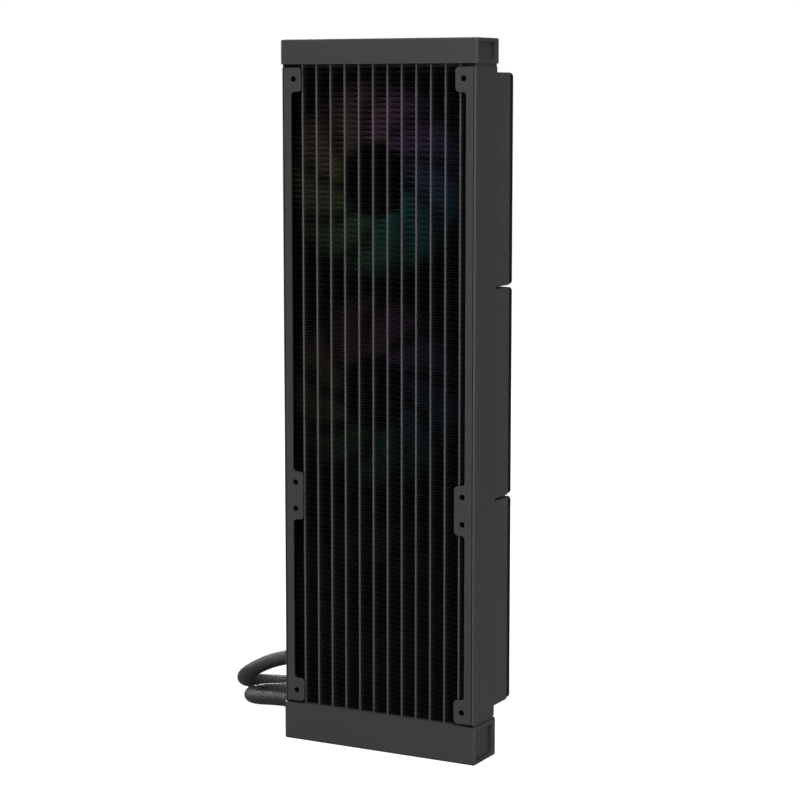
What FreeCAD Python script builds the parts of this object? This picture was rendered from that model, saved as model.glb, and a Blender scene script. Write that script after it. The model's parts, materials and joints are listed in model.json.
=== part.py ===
# Liquid cooling radiator, three-fan size, standing upright on its lower end tank.
# X runs across the width, +Y points from the bare outer face towards the fans, +Z is up.
# Pieces are drawn with the outer face at Y = 0. On saving they move back by half the radiator's
# depth, so the stored origin is the centre of the lower tank's underside. Millimetres.
import FreeCAD, Part

import math
import os

from FreeCAD import Vector

os.makedirs("parts", exist_ok=True)

X = Vector(1, 0, 0)
Y = Vector(0, 1, 0)
Z = Vector(0, 0, 1)

# ---------------------------------------------------------------- driving dimensions
# radiator block
WIDTH = 121.3
DEPTH = 26.5
LOWER_TANK = 21.25
UPPER_TANK = 13.5
TANK_WALL = 1.2
TANK_EDGE = 1.0
CORE_HALF = 59.9
CORE_GAP = 0.25
SECTION = 120.0
SECTIONS = 3
CORE_BOTTOM = LOWER_TANK + CORE_GAP
CORE_TOP = CORE_BOTTOM + SECTION * SECTIONS
UPPER_START = CORE_TOP + 2 * CORE_GAP
HEIGHT = UPPER_START + UPPER_TANK
HEADER = 1.25
DIVIDER_THICK = 1.5

# end caps: a recessed panel inside the open end of each tank
CAP_THICK = 3.0
CAP_RECESS = 1.4
CAP_FRONT_RIM = 2.0
CAP_BACK_RIM = 5.2
CAP_RIM = 2.2
CAP_CORNER = 1.0

# flat tubes and folded fins
TUBES = 12
TUBE_PITCH = 8.88
TUBE_THICK = 1.25
TUBE_DEPTH = 20.0
TUBE_WALL = 0.3
TUBE_INTO_TANK = 2.0
FIN_PITCH = 1.5
FIN_THICK = 0.12
FIN_DEPTH = 19.2
FIN_END = 0.5

# side plates and their screw tabs
SHEET = 1.0
BEND_R = 1.0
CREASE_WIDE = 0.6
CREASE_DEEP = 0.7
RELIEF = 1.4
FLANGE_IN = 54.1
TAB_IN = 47.7
TAB_TOWARD_TANK = 6.1
TAB_TOWARD_MIDDLE = 7.0
TAB_CORNER = 2.2
SCREW_SPACING = 105.0
EDGE_TO_SCREW = (SECTION - SCREW_SPACING) / 2
TAPPED_R = 1.65

# fans: square frames stacked a little closer than the core's sections, each with a thin outer bezel
FAN_PITCH = 117.3
FAN_STACK_Z = 202.1
FAN_SIZE = 116.1
FAN_DEEP = 19.6
FAN_EDGE = 0.5
FAN_BACK_EDGE = 0.5
TRIM_DEEP = 4.2
TRIM_INSET = 0.2
TRIM_CORNER = 2.0
TRIM_EDGE = 0.6
DUCT_R = 55.8
FAN_HOLE_R = 2.15
MOTOR_PLATE_R = 20.0
HUB_R = 20.0
HUB_WALL = 1.5
BLADE_TIP_R = 54.6
BLADES = 9
BLADE_THICK = 1.8
SHAFT_R = 1.5
SHAFT_CLEAR = 0.05
SLIP = 0.05
BEARING_R = 2.9
BEARING_TUBE_R = 4.3

# fan screws
SCREW_R = 1.625
SCREW_HEAD_R = 3.2
SCREW_HEAD = 2.1
SCREW_PAST_FLANGE = 1.9
SCREW_HEAD_EDGE = 0.9
CROSS_LONG = 3.6
CROSS_WIDE = 0.9
CROSS_DEEP = 1.2

# hoses and fittings
HOSE_R = 4.4
ARC_SHARE = 0.45
PORT_X = 33.0
PORT_Z = 10.6
PORT_OUT = 7.0
PORT_HOLE_R = 4.0
PORT_IN = 2.2
ELBOW_R = 4.9
ELBOW_BORE_R = 2.6
ELBOW_REACH = 10.0
ELBOW_REACH_RIGHT = 19.0
COLLAR_R = 5.8
COLLAR_LONG = 7.5
COLLAR_CLEAR = 0.05
COLLAR_EDGE = 0.6
RIB_LONG = 1.4
RIB_TALL = 0.6
FLOOR_CLEAR = 0.35
ON_FLOOR = HOSE_R + FLOOR_CLEAR

# pump block, lying on the floor behind the radiator
PUMP_X = -122.0
PUMP_Y = 185.0
PUMP_SIDE = 60.0
PUMP_CORNER = 14.0
PLATE_SIDE = 56.0
PLATE_THICK = 4.0
HOUSING_TOP = 27.0
CAP_TOP = 34.0
PUMP_PORT_Y = 11.0
PUMP_PORT_Z = 13.0
PUMP_PORT_LONG = 12.0


# ---------------------------------------------------------------- small helpers
THROUGH = 4.0  # long enough a cut to pass through any one wall
TINY = 1e-3


def box(x0, x1, y0, y1, z0, z1):
    return Part.makeBox(x1 - x0, y1 - y0, z1 - z0, Vector(x0, y0, z0))


def rod(radius, length, x, y, z, axis=Y):
    return Part.makeCylinder(radius, length, Vector(x, y, z), axis)


def ring(outer, inner, length, x, y, z, axis=Y):
    return rod(outer, length, x, y, z, axis).cut(rod(inner, length, x, y, z, axis))


def prism(points, push):
    corners = [Vector(*p) for p in points]
    return Part.Face(Part.makePolygon(corners + corners[:1])).extrude(push)


def round_edges(shape, radius, wanted):
    edges = [e for e in shape.Edges if wanted(e)]
    return shape.makeFillet(radius, edges)


def runs_along(edge, axis):
    if len(edge.Vertexes) != 2:
        return False
    span = edge.Vertexes[1].Point.sub(edge.Vertexes[0].Point)
    return span.Length > 1e-6 and abs(abs(span.dot(axis)) / span.Length - 1) < 1e-6


def group(shapes):
    return Part.makeCompound(shapes)


def mirror_x(shape):
    return shape.mirror(Vector(0, 0, 0), X)


def save(name, shape):
    stored = shape.copy()
    stored.translate(Y * (-DEPTH / 2))
    stored.exportStep("parts/" + name + ".step")
    print(name, len(stored.Solids), round(stored.Volume, 1))


# ---------------------------------------------------------------- tanks, caps, headers
def tank(height):
    # channel with its closed side down; the header plate and the caps close the rest
    half = WIDTH / 2
    block = box(-half, half, 0, DEPTH, 0, height)
    block = round_edges(block, TANK_EDGE, lambda e: e.CenterOfMass.z < height - 0.1)
    inside = box(-half - 1, half + 1, TANK_WALL, DEPTH - TANK_WALL, TANK_WALL, height + 1)
    return block.cut(inside)


def end_cap(height):
    # plug for the right-hand end with a shallow panel sunk in its outer face
    out = WIDTH / 2
    plug = box(out - CAP_THICK, out, TANK_WALL, DEPTH - TANK_WALL, TANK_WALL, height)
    panel = box(out - CAP_RECESS, out + 1, CAP_FRONT_RIM, DEPTH - CAP_BACK_RIM, CAP_RIM, height - CAP_RIM)
    return plug.cut(round_edges(panel, CAP_CORNER, lambda e: runs_along(e, X)))


def tube_positions():
    first = -(TUBES - 1) * TUBE_PITCH / 2
    return [first + i * TUBE_PITCH for i in range(TUBES)]


def flat_bar(x, thick, deep, z0, z1):
    # bar of flat-tube section with rounded noses, centred in the depth
    y_mid = DEPTH / 2
    straight = (deep - thick) / 2
    bar = box(x - thick / 2, x + thick / 2, y_mid - straight, y_mid + straight, z0, z1)
    for side in (-1, 1):
        bar = bar.fuse(rod(thick / 2, z1 - z0, x, y_mid + side * straight, z0, Z))
    return bar.removeSplitter()


def header_plate(height):
    inner = WIDTH / 2 - CAP_THICK
    plate = box(-inner, inner, TANK_WALL, DEPTH - TANK_WALL, height - HEADER, height)
    slots = [flat_bar(x, TUBE_THICK, TUBE_DEPTH, 0, height + 1) for x in tube_positions()]
    return plate.cut(group(slots))


def turned_over(shape):
    # the upper tank is the lower one's construction turned upside down
    flipped = shape.mirror(Vector(0, 0, 0), Z)
    flipped.translate(Vector(0, 0, HEIGHT))
    return flipped


lower_tank = tank(LOWER_TANK)
for side in (-1, 1):
    lower_tank = lower_tank.cut(rod(PORT_HOLE_R, THROUGH, side * PORT_X, DEPTH - THROUGH / 2, PORT_Z))
lower_cap = end_cap(LOWER_TANK)
upper_cap = turned_over(end_cap(UPPER_TANK))
upper_tank = turned_over(tank(UPPER_TANK))

FILL_X = 40.0
FILL_Z = HEIGHT - UPPER_TANK / 2
FILL_HOLE_R = 3.0
upper_tank = upper_tank.cut(rod(FILL_HOLE_R, THROUGH, FILL_X, DEPTH - THROUGH / 2, FILL_Z))

save("lower_tank", lower_tank)
save("lower_cap_right", lower_cap)
save("lower_cap_left", mirror_x(lower_cap))
save("lower_header_plate", header_plate(LOWER_TANK))
save("upper_tank", upper_tank)
save("upper_cap_right", upper_cap)
save("upper_cap_left", mirror_x(upper_cap))
save("upper_header_plate", turned_over(header_plate(UPPER_TANK)))

# wall inside the lower tank that keeps the incoming and outgoing halves apart
half = DIVIDER_THICK / 2
save("flow_divider", box(-half, half, TANK_WALL, DEPTH - TANK_WALL, TANK_WALL, LOWER_TANK - HEADER))

# filler plug: flanged screw with a hexagonal socket, and its sealing ring
SEAL_R = 4.0
SEAL_THICK = 0.8
PLUG_IN = 2.4
PLUG_HEAD_R = 4.2
PLUG_HEAD = 1.8
HEXAGON_R = 1.7
HEXAGON_DEEP = 1.4
plug_head_y = DEPTH + SEAL_THICK
plug = rod(FILL_HOLE_R - 2 * SLIP, PLUG_IN + SEAL_THICK, FILL_X, DEPTH - PLUG_IN, FILL_Z)
plug = plug.fuse(rod(PLUG_HEAD_R, PLUG_HEAD, FILL_X, plug_head_y, FILL_Z))
socket = []
for i in range(6):
    corner = math.radians(60 * i)
    socket.append((FILL_X + HEXAGON_R * math.cos(corner), plug_head_y + PLUG_HEAD - HEXAGON_DEEP,
                   FILL_Z + HEXAGON_R * math.sin(corner)))
plug = plug.cut(prism(socket, Y * HEXAGON_DEEP))
save("fill_plug", plug)
save("fill_plug_seal", ring(SEAL_R, FILL_HOLE_R, SEAL_THICK, FILL_X, DEPTH, FILL_Z))

# ---------------------------------------------------------------- tubes and fins
tube_z0 = LOWER_TANK - HEADER - TUBE_INTO_TANK
tube_z1 = UPPER_START + HEADER + TUBE_INTO_TANK


def flat_tube(x):
    outside = flat_bar(x, TUBE_THICK, TUBE_DEPTH, tube_z0, tube_z1)
    bore = flat_bar(x, TUBE_THICK - 2 * TUBE_WALL, TUBE_DEPTH - 2 * TUBE_WALL, tube_z0, tube_z1)
    return outside.cut(bore)


save("flat_tubes", group([flat_tube(x) for x in tube_positions()]))


def fin_strip(x0, x1):
    # one folded strip: leaves run from wall to wall, each one fin pitch higher than the last
    z0 = CORE_BOTTOM + FIN_END + FIN_THICK
    leaves = int((CORE_TOP - FIN_END - FIN_THICK - z0) / FIN_PITCH)
    y0 = (DEPTH - FIN_DEPTH) / 2
    crotch = FIN_THICK * (x1 - x0) / (2 * FIN_PITCH)
    left_side = []
    right_side = []
    for i in range(leaves + 1):
        z = z0 + i * FIN_PITCH
        blunt, inner = (left_side, right_side) if i % 2 == 0 else (right_side, left_side)
        wall, away = (x0, x0 + crotch) if i % 2 == 0 else (x1, x1 - crotch)
        end_of_strip = i in (0, leaves)
        blunt.append((wall, y0, z + FIN_THICK / 2 if i == 0 else z - FIN_THICK / 2))
        if end_of_strip:
            inner.append((wall, y0, z - FIN_THICK / 2 if i == 0 else z + FIN_THICK / 2))
        else:
            blunt.append((wall, y0, z + FIN_THICK / 2))
            inner.append((away, y0, z))
    return prism(right_side + left_side[::-1], Y * FIN_DEPTH)


web_in = CORE_HALF - SHEET
walls = [-web_in] + tube_positions() + [web_in]
strips = []
for i in range(TUBES + 1):
    x0 = walls[i] + (TUBE_THICK / 2 if i > 0 else 0)
    x1 = walls[i + 1] - (TUBE_THICK / 2 if i < TUBES else 0)
    strips.append(fin_strip(x0, x1))
save("fin_strips", group(strips))

# ---------------------------------------------------------------- side plates
LOW_ROW = CORE_BOTTOM + EDGE_TO_SCREW
TOP_ROW = CORE_TOP - EDGE_TO_SCREW
LOW_JOIN = CORE_BOTTOM + SECTION
OUTER_ROWS = [LOW_ROW, LOW_JOIN - EDGE_TO_SCREW, LOW_JOIN + EDGE_TO_SCREW, TOP_ROW]
fan_centres = [FAN_STACK_Z + FAN_PITCH * step for step in (1, 0, -1)]
fan_joins = [FAN_STACK_Z + FAN_PITCH * step for step in (-0.5, 0.5)]
FAN_ROWS = sorted(z + side * SCREW_SPACING / 2 for z in fan_centres for side in (-1, 1))
FLANGE_Z0 = LOW_ROW - TAB_TOWARD_TANK
FLANGE_Z1 = TOP_ROW + TAB_TOWARD_TANK


def flange(y0, tab_joins, rows):
    # strip down the edge with a tab at each end and at each listed join
    spans = [(FLANGE_Z0, LOW_ROW + TAB_TOWARD_MIDDLE), (TOP_ROW - TAB_TOWARD_MIDDLE, FLANGE_Z1)]
    reach = EDGE_TO_SCREW + TAB_TOWARD_TANK
    spans += [(j - reach, j + reach) for j in tab_joins]
    plate = box(FLANGE_IN, CORE_HALF, y0, y0 + SHEET, FLANGE_Z0, FLANGE_Z1)
    for z0, z1 in spans:
        tab = box(TAB_IN, CORE_HALF, y0, y0 + SHEET, z0, z1)
        tab = round_edges(tab, TAB_CORNER, lambda e: runs_along(e, Y) and e.CenterOfMass.x < TAB_IN + 0.1)
        plate = plate.fuse(tab)
        for z, way in ((z0, -1), (z1, 1)):
            if FLANGE_Z0 + 1 < z < FLANGE_Z1 - 1:
                # the inside corner between tab and strip is rounded too
                patch = box(FLANGE_IN - TAB_CORNER, FLANGE_IN, y0, y0 + SHEET,
                            min(z, z + way * TAB_CORNER), max(z, z + way * TAB_CORNER))
                scoop = rod(TAB_CORNER, SHEET, FLANGE_IN - TAB_CORNER, y0, z + way * TAB_CORNER)
                plate = plate.fuse(patch.cut(scoop))
    for z in rows:
        plate = plate.cut(rod(TAPPED_R, SHEET, SCREW_SPACING / 2, y0, z))
    return plate.removeSplitter()


def side_plate():
    web = box(web_in, CORE_HALF, 0, DEPTH, LOWER_TANK, UPPER_START)
    front = flange(0, [LOW_JOIN], OUTER_ROWS)
    back = flange(DEPTH - SHEET, fan_joins, FAN_ROWS)
    plate = web.fuse([front, back]).removeSplitter()
    plate = round_edges(plate, BEND_R, lambda e: runs_along(e, Z) and e.CenterOfMass.x > CORE_HALF - 0.01)
    # pressed crease beside the outer bend, and relief cuts where both bends end short of each tank
    crease_x = CORE_HALF - BEND_R - CREASE_WIDE
    plate = plate.cut(box(crease_x, crease_x + CREASE_WIDE, 0, CREASE_DEEP, FLANGE_Z0, FLANGE_Z1))
    for z0, z1 in ((LOWER_TANK, FLANGE_Z0), (FLANGE_Z1, UPPER_START)):
        for y0 in (0, DEPTH - RELIEF):
            plate = plate.cut(box(web_in, CORE_HALF, y0, y0 + RELIEF, z0, z1))
    return plate


side_plate_right = side_plate()
save("side_plate_right", side_plate_right)
save("side_plate_left", mirror_x(side_plate_right))

# ---------------------------------------------------------------- fans
# every fan piece is made once about (0, 0, 0) with the radiator side at y = 0, then copied
MOTOR_PLATE = 2.0
MOTOR_PLATE_Y = 0.6
STRUT = 3.0
STRUT_WIDE = 4.0
STRUTS = 4
BOARD_THICK = 1.2
BOARD_R = 18.6
HUB_Y0 = 5.0
HUB_Y1 = 18.4
HUB_TOP = 1.6
HUB_CORNER = 1.0
SHAFT_Y0 = 3.4
SHAFT_Y1 = HUB_Y1 - 0.6
BEARING_Y0 = 2.9
BEARING_Y1 = 14.2
BOSS_R = 3.6
BOSS_Y0 = 15.2
MAGNET_THICK = 1.8
MAGNET_LONG = 11.0
MAGNET_Y0 = HUB_Y0 + 0.8
STATOR_R = 15.6
STATOR_CORE_R = 7.0
STATOR_POLES = 4
POLE_TALL = 5.0
NECK_WIDE = 4.0
COIL_WIDE = 7.2
COIL_CORNER = 1.2
SHOE_WIDE = 16.0
SHOE_THICK = 1.6
STATOR_Y0 = 6.5
STATOR_Y1 = 14.5
BLADE_Y0 = 5.6
BLADE_Y1 = 18.4
BLADE_BULGE = 1.2
# three cuts along a blade, from the hub out: how far its upper and lower edges pull in, then where they lie
BLADE_CUTS = [(0.0, 0.0, -5.0, 5.0), (0.6, 0.8, -12.0, 11.0), (2.4, 2.4, -22.0, 13.0)]
LAMPS = 12
LAMP_LONG = 3.0
LAMP_WIDE = 2.8
LAMP_TALL = 0.8
LAMP_FROM_RIM = 0.4
NOTCH_WIDE = 8.0
NOTCH_TALL = 4.0
NOTCH_DEEP = 3.0


def fan_openings(y0, deep):
    # round duct and the four screw holes, through everything from y0 on
    half_spacing = SCREW_SPACING / 2
    holes = [rod(DUCT_R, deep, 0, y0, 0)]
    for x in (-half_spacing, half_spacing):
        for z in (-half_spacing, half_spacing):
            holes.append(rod(FAN_HOLE_R, deep, x, y0, z))
    return group(holes)


def fan_frame():
    half = FAN_SIZE / 2
    frame = box(-half, half, 0, FAN_DEEP, -half, half)
    frame = round_edges(frame, FAN_EDGE, lambda e: e.CenterOfMass.y < FAN_DEEP - 0.1)
    frame = round_edges(frame, FAN_BACK_EDGE, lambda e: e.CenterOfMass.y > FAN_DEEP - 0.1)
    frame = frame.cut(fan_openings(0, FAN_DEEP))
    # cable notch in the wall that faces away from the tank hoses
    notch_half = NOTCH_WIDE / 2
    frame = frame.cut(box(-notch_half, notch_half, FAN_DEEP - NOTCH_DEEP, FAN_DEEP, half - NOTCH_TALL, half))
    top = MOTOR_PLATE_Y + MOTOR_PLATE
    frame = frame.fuse(rod(MOTOR_PLATE_R, MOTOR_PLATE, 0, MOTOR_PLATE_Y, 0))
    arms = []
    for i in range(STRUTS):
        arm = box(MOTOR_PLATE_R - 1, DUCT_R + 0.8, MOTOR_PLATE_Y, MOTOR_PLATE_Y + STRUT,
                  -STRUT_WIDE / 2, STRUT_WIDE / 2)
        arm.rotate(Vector(0, 0, 0), Y, 45 + 360 * i / STRUTS)
        arms.append(arm)
    frame = frame.fuse(arms + [ring(BEARING_TUBE_R, BEARING_R, STATOR_Y1 - top, 0, top, 0)])
    return frame.removeSplitter()


def fan_trim():
    # thin bezel on the frame's outer face
    half = FAN_SIZE / 2 - TRIM_INSET
    outer_y = FAN_DEEP + TRIM_DEEP
    trim = box(-half, half, FAN_DEEP, outer_y, -half, half)
    trim = round_edges(trim, TRIM_CORNER, lambda e: runs_along(e, Y))
    trim = round_edges(trim, TRIM_EDGE, lambda e: e.CenterOfMass.y > outer_y - 0.1)
    return trim.cut(fan_openings(FAN_DEEP, TRIM_DEEP))


def blade_section(x, lead, trail):
    # six corners of one cut through a blade, curved a little along its chord
    (lead_y, lead_z), (trail_y, trail_z) = lead, trail
    near = []
    far = []
    for share, bulge in ((0.0, 0.0), (0.5, BLADE_BULGE), (1.0, 0.0)):
        y = lead_y + (trail_y - lead_y) * share + bulge
        z = lead_z + (trail_z - lead_z) * share
        near.append(Vector(x, y, z))
        far.append(Vector(x, y + BLADE_THICK, z))
    far.reverse()
    return Part.makePolygon(near + far + near[:1])


def fan_impeller():
    cup = ring(HUB_R, HUB_R - HUB_WALL, HUB_Y1 - HUB_Y0, 0, HUB_Y0, 0)
    lid = rod(HUB_R, HUB_TOP, 0, HUB_Y1 - HUB_TOP, 0)
    hub = cup.fuse(lid).removeSplitter()
    hub = round_edges(hub, HUB_CORNER, lambda e: abs(e.CenterOfMass.y - HUB_Y1) < TINY)
    boss = rod(BOSS_R, HUB_Y1 - HUB_TOP - BOSS_Y0, 0, BOSS_Y0, 0)
    # the blade is drawn past both ends and trimmed to the hub and the tip circle
    root = HUB_R - 6
    tip = BLADE_TIP_R + 2
    top_y = BLADE_Y1 - BLADE_THICK
    sections = []
    for step, (upper_in, lower_in, lead_z, trail_z) in enumerate(BLADE_CUTS):
        x = root + (tip - root) * step / (len(BLADE_CUTS) - 1)
        sections.append(blade_section(x, (top_y - upper_in, lead_z), (BLADE_Y0 + lower_in, trail_z)))
    blade = Part.makeLoft(sections, True, True)
    blade = blade.common(ring(BLADE_TIP_R, HUB_R - HUB_WALL / 2, FAN_DEEP, 0, 0, 0))
    blades = []
    for i in range(BLADES):
        copy = blade.copy()
        copy.rotate(Vector(0, 0, 0), Y, 360 * i / BLADES)
        blades.append(copy)
    shaft_hole = rod(SHAFT_R, SHAFT_Y1, 0, 0, 0)
    return hub.fuse([boss] + blades).cut(shaft_hole)


def fan_stator():
    # core with wound poles round the bearing tube
    core = ring(STATOR_CORE_R, BEARING_TUBE_R, STATOR_Y1 - STATOR_Y0, 0, STATOR_Y0, 0)
    pole_y0 = (STATOR_Y0 + STATOR_Y1 - POLE_TALL) / 2
    pole_y1 = pole_y0 + POLE_TALL
    neck_r = STATOR_R - SHOE_THICK
    for i in range(STATOR_POLES):
        neck = box(STATOR_CORE_R - 1, neck_r + SLIP, pole_y0, pole_y1, -NECK_WIDE / 2, NECK_WIDE / 2)
        coil = box(STATOR_CORE_R + 0.5, neck_r - 0.8, STATOR_Y0, STATOR_Y1, -COIL_WIDE / 2, COIL_WIDE / 2)
        coil = round_edges(coil, COIL_CORNER, lambda e: runs_along(e, X))
        shoe = ring(STATOR_R, neck_r, POLE_TALL, 0, pole_y0, 0)
        shoe = shoe.common(box(0, STATOR_R + 1, 0, FAN_DEEP, -SHOE_WIDE / 2, SHOE_WIDE / 2))
        pole = neck.fuse([coil, shoe])
        pole.rotate(Vector(0, 0, 0), Y, 360 * i / STATOR_POLES)
        core = core.fuse(pole)
    return core.removeSplitter()


def fan_light_board():
    # motor board with a ring of lamps near its rim
    y0 = MOTOR_PLATE_Y + MOTOR_PLATE
    board = ring(BOARD_R, BEARING_TUBE_R, BOARD_THICK, 0, y0, 0)
    lamp_x1 = BOARD_R - LAMP_FROM_RIM
    lamp_y0 = y0 + BOARD_THICK
    for i in range(LAMPS):
        lamp = box(lamp_x1 - LAMP_LONG, lamp_x1, lamp_y0, lamp_y0 + LAMP_TALL, -LAMP_WIDE / 2, LAMP_WIDE / 2)
        lamp.rotate(Vector(0, 0, 0), Y, 360 * (i + 0.5) / LAMPS)
        board = board.fuse(lamp)
    return board


fan_pieces = {
    "frame": fan_frame(),
    "trim": fan_trim(),
    "impeller": fan_impeller(),
    "magnet_ring": ring(HUB_R - HUB_WALL, HUB_R - HUB_WALL - MAGNET_THICK, MAGNET_LONG, 0, MAGNET_Y0, 0),
    "shaft": rod(SHAFT_R, SHAFT_Y1 - SHAFT_Y0, 0, SHAFT_Y0, 0),
    "bearing": ring(BEARING_R, SHAFT_R + SHAFT_CLEAR, BEARING_Y1 - BEARING_Y0, 0, BEARING_Y0, 0),
    "stator": fan_stator(),
    "light_board": fan_light_board(),
}
for number, centre in enumerate(fan_centres, 1):
    for piece, shape in fan_pieces.items():
        placed = shape.copy()
        placed.translate(Vector(0, DEPTH, centre))
        save("fan_%d_%s" % (number, piece), placed)


def fan_screw(x, z):
    # pan head on the bezel's outer face, shank through the fan into the tapped flange
    head_y = DEPTH + FAN_DEEP + TRIM_DEEP
    shank_y = DEPTH - SHEET - SCREW_PAST_FLANGE
    top_y = head_y + SCREW_HEAD
    head = rod(SCREW_HEAD_R, SCREW_HEAD, x, head_y, z)
    head = round_edges(head, SCREW_HEAD_EDGE, lambda e: abs(e.CenterOfMass.y - top_y) < TINY)
    screw = head.fuse(rod(SCREW_R, head_y - shank_y, x, shank_y, z))
    for wide, tall in ((CROSS_LONG / 2, CROSS_WIDE / 2), (CROSS_WIDE / 2, CROSS_LONG / 2)):
        screw = screw.cut(box(x - wide, x + wide, top_y - CROSS_DEEP, top_y, z - tall, z + tall))
    return screw


half_spacing = SCREW_SPACING / 2
save("fan_screws", group([fan_screw(x, z) for x in (-half_spacing, half_spacing) for z in FAN_ROWS]))

# ---------------------------------------------------------------- radiator fittings
ELBOW_Y = DEPTH + PORT_OUT
SEAT_R = 6.2
SEAT_THICK = 1.6
RIB_FROM_PORT = 6.6


def radiator_elbow(port_x, reach):
    # flanged stub out of the tank, then a quarter turn towards -X
    stub = rod(PORT_HOLE_R - SLIP, PORT_IN + 1, port_x, DEPTH - PORT_IN, PORT_Z)
    seat = rod(SEAT_R, SEAT_THICK, port_x, DEPTH, PORT_Z)
    neck = rod(ELBOW_R, PORT_OUT, port_x, DEPTH, PORT_Z)
    knee = Part.makeSphere(ELBOW_R, Vector(port_x, ELBOW_Y, PORT_Z))
    arm = rod(ELBOW_R, reach, port_x - reach, ELBOW_Y, PORT_Z, X)
    rib = ring(ELBOW_R + RIB_TALL, ELBOW_R - 1, RIB_LONG, port_x - RIB_FROM_PORT, ELBOW_Y, PORT_Z, X)
    body = stub.fuse([seat, neck, knee, arm, rib])
    inlet = rod(ELBOW_BORE_R, PORT_OUT + PORT_IN + 1, port_x, DEPTH - PORT_IN - 0.5, PORT_Z)
    outlet = rod(ELBOW_BORE_R, reach + 1, port_x - reach - 1, ELBOW_Y, PORT_Z, X)
    return body.cut(inlet.fuse(outlet)).removeSplitter()


left_hose_start = -PORT_X - ELBOW_REACH
right_hose_start = PORT_X - ELBOW_REACH_RIGHT
save("outlet_elbow", radiator_elbow(-PORT_X, ELBOW_REACH))
save("inlet_elbow", radiator_elbow(PORT_X, ELBOW_REACH_RIGHT))


# ---------------------------------------------------------------- hoses
TURN_X = -54.0
LAST_RUN = 15.0


def bend_points(centre_x, centre_y, radius, count, z_start, z_stop):
    # corners of the straight runs that wrap a half turn, from its -Y side round +X to its +Y side
    step = 180 / count
    reach = radius / math.cos(math.radians(step / 2))
    points = []
    for i in range(count):
        angle = math.radians(-90 + step * (i + 0.5))
        level = z_start + (z_stop - z_start) * (i / (count - 1)) ** 2
        points.append((centre_x + reach * math.cos(angle), centre_y + reach * math.sin(angle), level))
    return points


pump_right = PUMP_X + PUMP_SIDE / 2
hose_end = pump_right + PUMP_PORT_LONG
near_end_y = PUMP_Y - PUMP_PORT_Y
far_end_y = PUMP_Y + PUMP_PORT_Y

# lower hose: straight out of its elbow to the left, back round near the floor, then round to the pump
LOWER_FLOOR_Y = 77.8
LOWER_TURN_R = (far_end_y - LOWER_FLOOR_Y) / 2
lower_route = [(left_hose_start, ELBOW_Y, PORT_Z), (-58, ELBOW_Y, PORT_Z), (-73, 34.2, 12.0)]
lower_route += [(-88, 35.6, 11.4), (-101.5, 37.2, 9.7), (-112, 44.5, 8.2), (-116, 57, 6.7), (-111.5, 69.5, 5.4)]
lower_route += [(-101, 76.8, 4.9), (-84, LOWER_FLOOR_Y, ON_FLOOR)]
lower_route += bend_points(TURN_X, LOWER_FLOOR_Y + LOWER_TURN_R, LOWER_TURN_R, 7, ON_FLOOR, PUMP_PORT_Z - 2)
lower_route += [(hose_end + LAST_RUN, far_end_y, PUMP_PORT_Z), (hose_end, far_end_y, PUMP_PORT_Z)]

# upper hose: behind the lower one's elbow, up past the fan edge, over to the left and back along the floor
UPPER_FLOOR_Y = 95.5
UPPER_TURN_R = (near_end_y - UPPER_FLOOR_Y) / 2
upper_route = [(right_hose_start, ELBOW_Y, PORT_Z), (-1, ELBOW_Y, PORT_Z), (-19, 40.6, 11.6), (-36, 52, 14.6)]
upper_route += [(-52, 61.5, 21.2), (-69, 65, 29.2), (-86, 60.5, 32.2), (-102, 56, 28.6), (-116.6, 55.6, 21.2)]
upper_route += [(-127.8, 61.6, 13.6), (-131.7, 73.4, 8.3), (-127.9, 85.2, 5.4), (-116.8, 91.6, ON_FLOOR)]
upper_route += [(-98, UPPER_FLOOR_Y - 1, ON_FLOOR), (-74, UPPER_FLOOR_Y, ON_FLOOR)]
upper_route += bend_points(TURN_X, UPPER_FLOOR_Y + UPPER_TURN_R, UPPER_TURN_R, 5, ON_FLOOR, PUMP_PORT_Z - 2)
upper_route += [(hose_end + LAST_RUN, near_end_y, PUMP_PORT_Z), (hose_end, near_end_y, PUMP_PORT_Z)]


def centre_line(route):
    # straight runs joined by arcs that touch both neighbours
    points = [Vector(*p) for p in route]
    edges = []
    radii = []
    here = points[0]
    for before, corner, after in zip(points, points[1:], points[2:]):
        arriving = corner.sub(before)
        leaving = after.sub(corner)
        shorter = min(arriving.Length, leaving.Length)
        turn = arriving.getAngle(leaving)
        reach = ARC_SHARE * shorter
        radii.append(reach / math.tan(turn / 2))
        arriving.normalize()
        leaving.normalize()
        start = corner - arriving * reach
        stop = corner + leaving * reach
        inward = (leaving - arriving).normalize()
        middle = corner + inward * (radii[-1] / math.cos(turn / 2) - radii[-1])
        edges.append(Part.LineSegment(here, start).toShape())
        edges.append(Part.Arc(start, middle, stop).toShape())
        here = stop
    edges.append(Part.LineSegment(here, points[-1]).toShape())
    return Part.Wire(edges), radii


def hose(name, route):
    path, radii = centre_line(route)
    first = Vector(*route[1]).sub(Vector(*route[0]))
    section = Part.Wire(Part.makeCircle(HOSE_R, Vector(*route[0]), first))
    body = path.makePipeShell([section], True, False)
    expected = math.pi * HOSE_R ** 2 * path.Length
    print(name, "length", round(path.Length, 1), "radii", [round(r, 1) for r in radii],
          "volume share", round(body.Volume / expected, 4), "lowest", round(body.BoundBox.ZMin, 2))
    return body


save("lower_hose", hose("lower_hose", lower_route))
save("upper_hose", hose("upper_hose", upper_route))


def collar(x, y, z):
    # crimped sleeve round the last part of a hose
    sleeve = rod(COLLAR_R, COLLAR_LONG, x, y, z, X)
    sleeve = round_edges(sleeve, COLLAR_EDGE, lambda e: not runs_along(e, X))
    return sleeve.cut(rod(HOSE_R + COLLAR_CLEAR, COLLAR_LONG, x, y, z, X))


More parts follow.
